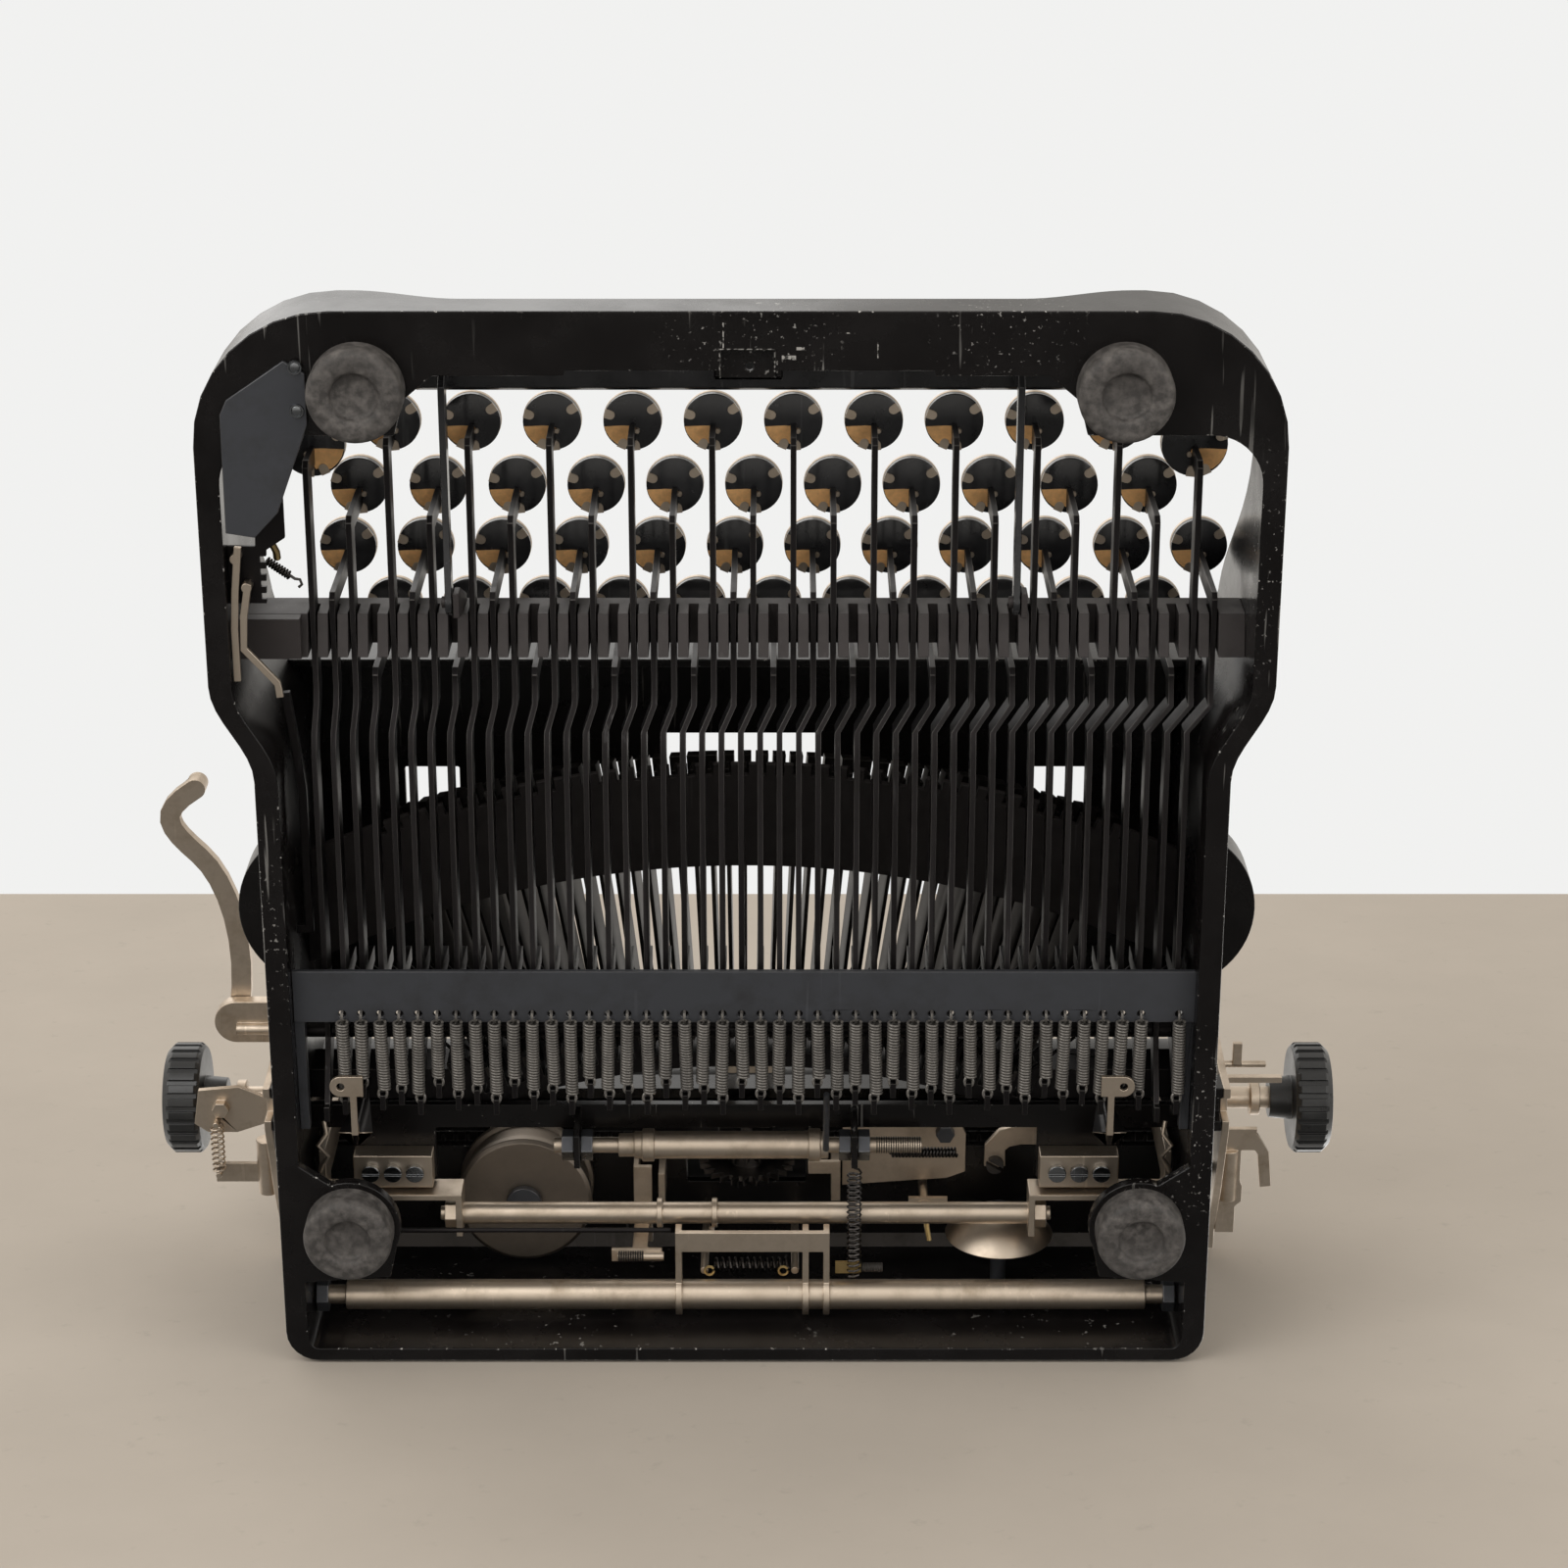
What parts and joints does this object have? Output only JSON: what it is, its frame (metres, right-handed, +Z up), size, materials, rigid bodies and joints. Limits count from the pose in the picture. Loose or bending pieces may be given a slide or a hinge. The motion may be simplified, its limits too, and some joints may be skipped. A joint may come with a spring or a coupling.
{
  "type": "portable typewriter",
  "caption": "Portable four-row typewriter with open underside, key levers on a fulcrum shaft, type basket, shifting carriage, ribbed platen knobs and rubber feet.",
  "frame": {"origin": "middle of the machine's footprint, on the surface its four feet stand on", "axes": "+X to the typist's right, +Y from the keyboard to the back, +Z up"},
  "size_m": [0.316, 0.2846, 0.1353],
  "materials": {
    "black_japan": "gloss black baked enamel, worn to bare metal along edges",
    "foot_rubber": "grey worn rubber",
    "blued_steel": "blue-black satin steel",
    "dark_steel": "dark oiled steel",
    "spring_steel": "grey drawn wire",
    "type_steel": "plain steel, slightly tarnished",
    "aged_nickel": "aged nickel plate with a warm cast",
    "key_black": "black card under a clear cover in a plated ring",
    "platen_rubber": "hard black rubber",
    "knob_plastic": "moulded black hard rubber"
  },
  "bodies": {
    "frame": {"base_frame": "black_japan", "feet": "foot_rubber", "front_gusset_plate": "blued_steel", "top_deck": "black_japan", "key_comb": "dark_steel", "spring_plate": "blued_steel", "fulcrum_shaft": "dark_steel", "key_springs": "spring_steel", "segment": "dark_steel", "segment_wire": "type_steel", "typebars": "type_steel", "typebar_rest": "black_japan", "type_guide": "aged_nickel", "spool_cups": "black_japan", "rear_tube": "aged_nickel", "universal_tube": "aged_nickel", "bed_plate": "dark_steel", "screw_blocks": "aged_nickel", "fasteners": "blued_steel", "rear_shelf": "black_japan", "bell": "aged_nickel", "coil_springs": "spring_steel", "side_links": "aged_nickel", "escapement_frame": "aged_nickel"},
    "row_1": {"row_1_levers": "dark_steel", "row_1_keys": "key_black"},
    "row_2": {"row_2_levers": "dark_steel", "row_2_keys": "key_black"},
    "row_3": {"row_3_levers": "dark_steel", "row_3_keys": "key_black"},
    "row_4": {"row_4_levers": "dark_steel", "row_4_keys": "key_black"},
    "centre_key": {"centre_lever": "dark_steel", "centre_key": "key_black"},
    "centre_typebar": {"centre_typebar": "type_steel"},
    "space_bar": {"space_bar": "black_japan"},
    "left_shift": {"left_shift": "dark_steel"},
    "right_shift": {"right_shift": "dark_steel"},
    "shift_cradle": {"shift_rail": "dark_steel", "shift_bail": "aged_nickel"},
    "escape_wheel": {"escape_wheel": "type_steel"},
    "carriage": {"carriage_channel": "black_japan", "left_end_plate": "aged_nickel", "right_end_plate": "aged_nickel", "margin_bar": "type_steel", "paper_table": "black_japan", "escapement_rack": "type_steel", "lever_bracket": "aged_nickel", "carriage_trim": "aged_nickel"},
    "platen": {"platen_roller": "platen_rubber", "platen_shaft": "aged_nickel", "platen_knobs": "knob_plastic", "ratchet_wheel": "type_steel"},
    "front_feed_roller": {"front_feed_roller": "platen_rubber"},
    "rear_feed_roller": {"rear_feed_roller": "platen_rubber"},
    "return_lever": {"return_lever": "aged_nickel"},
    "spring_drum": {"spring_drum": "aged_nickel"},
    "left_spool": {"left_spool": "aged_nickel"},
    "right_spool": {"right_spool": "aged_nickel"},
    "trip_bail": {"trip_bail": "aged_nickel"}
  },
  "joints": [
    {"name": "row_1_press", "type": "hinge", "parent": "frame", "child": "row_1", "pos_m": [0, 0.04374, 0.024], "axis": [1, 0, 0], "range_deg": [0, 4.5], "stiffness_Nm_per_rad": 0.8, "springref_deg": -22.92},
    {"name": "row_2_press", "type": "hinge", "parent": "frame", "child": "row_2", "pos_m": [0, 0.04374, 0.024], "axis": [1, 0, 0], "range_deg": [0, 4.5], "stiffness_Nm_per_rad": 0.8, "springref_deg": -22.92},
    {"name": "row_3_press", "type": "hinge", "parent": "frame", "child": "row_3", "pos_m": [0, 0.04374, 0.024], "axis": [1, 0, 0], "range_deg": [0, 4.5], "stiffness_Nm_per_rad": 0.8, "springref_deg": -22.92},
    {"name": "row_4_press", "type": "hinge", "parent": "frame", "child": "row_4", "pos_m": [0, 0.04374, 0.024], "axis": [1, 0, 0], "range_deg": [0, 4.5], "stiffness_Nm_per_rad": 0.8, "springref_deg": -22.92},
    {"name": "centre_key_press", "type": "hinge", "parent": "frame", "child": "centre_key", "pos_m": [0, 0.04374, 0.024], "axis": [1, 0, 0], "range_deg": [0, 4.5], "stiffness_Nm_per_rad": 0.2, "springref_deg": -22.92},
    {"name": "centre_typebar_swing", "type": "hinge", "parent": "frame", "child": "centre_typebar", "pos_m": [0, 0.05274, 0.045], "axis": [-1, 0, 0], "range_deg": [0, 97.2]},
    {"name": "space_bar_press", "type": "hinge", "parent": "frame", "child": "space_bar", "pos_m": [0, -0.06926, 0.02], "axis": [1, 0, 0], "range_deg": [0, 6], "stiffness_Nm_per_rad": 0.5, "springref_deg": -17.19},
    {"name": "left_shift_press", "type": "hinge", "parent": "frame", "child": "left_shift", "pos_m": [0, 0.04374, 0.024], "axis": [1, 0, 0], "range_deg": [0, 5], "stiffness_Nm_per_rad": 0.3, "springref_deg": -22.92},
    {"name": "right_shift_press", "type": "hinge", "parent": "frame", "child": "right_shift", "pos_m": [0, 0.04374, 0.024], "axis": [1, 0, 0], "range_deg": [0, 5]},
    {"name": "shift_lift", "type": "slide", "parent": "frame", "child": "shift_cradle", "axis": [0, 0, 1], "range_m": [0, 0.006]},
    {"name": "carriage_travel", "type": "slide", "parent": "shift_cradle", "child": "carriage", "axis": [1, 0, 0], "range_m": [-0.1, 0.1]},
    {"name": "escape_wheel_turn", "type": "hinge", "parent": "shift_cradle", "child": "escape_wheel", "pos_m": [0, 0.09474, 0.06], "axis": [0, 1, 0], "range_deg": [-955.5, 955.5]},
    {"name": "platen_turn", "type": "hinge", "parent": "carriage", "child": "platen", "pos_m": [0, 0.10074, 0.1], "axis": [1, 0, 0], "continuous": true},
    {"name": "front_feed_turn", "type": "hinge", "parent": "carriage", "child": "front_feed_roller", "pos_m": [0, 0.08853, 0.08255], "axis": [1, 0, 0], "continuous": true},
    {"name": "rear_feed_turn", "type": "hinge", "parent": "carriage", "child": "rear_feed_roller", "pos_m": [0, 0.11296, 0.08255], "axis": [1, 0, 0], "continuous": true},
    {"name": "return_lever_swing", "type": "hinge", "parent": "carriage", "child": "return_lever", "pos_m": [-0.138, 0.07674, 0.103], "axis": [0, 0, 1], "range_deg": [0, 35], "stiffness_Nm_per_rad": 0.05, "springref_deg": -17.19},
    {"name": "drum_turn", "type": "hinge", "parent": "frame", "child": "spring_drum", "pos_m": [-0.0575, 0.10304, 0.051], "axis": [0, 0, 1], "range_deg": [-352, 352]},
    {"name": "left_spool_turn", "type": "hinge", "parent": "frame", "child": "left_spool", "pos_m": [-0.11, 0.03774, 0.091], "axis": [0, 0, 1], "continuous": true},
    {"name": "right_spool_turn", "type": "hinge", "parent": "frame", "child": "right_spool", "pos_m": [0.11, 0.03774, 0.091], "axis": [0, 0, 1], "continuous": true},
    {"name": "trip_bail_swing", "type": "hinge", "parent": "frame", "child": "trip_bail", "pos_m": [0, 0.11924, 0.025], "axis": [1, 0, 0], "range_deg": [0, 4]}
  ],
  "couplings": [
    {"joint": "centre_typebar_swing", "follows": "centre_key_press", "ratio": 21.6},
    {"joint": "right_shift_press", "follows": "left_shift_press", "ratio": 1},
    {"joint": "shift_lift", "follows": "left_shift_press", "m_per_rad": 0.068755},
    {"joint": "escape_wheel_turn", "follows": "carriage_travel", "rad_per_m": 166.67},
    {"joint": "front_feed_turn", "follows": "platen_turn", "ratio": -3.2},
    {"joint": "rear_feed_turn", "follows": "platen_turn", "ratio": -3.2},
    {"joint": "drum_turn", "follows": "carriage_travel", "rad_per_m": 61.35},
    {"joint": "trip_bail_swing", "follows": "space_bar_press", "ratio": 0.66}
  ]
}
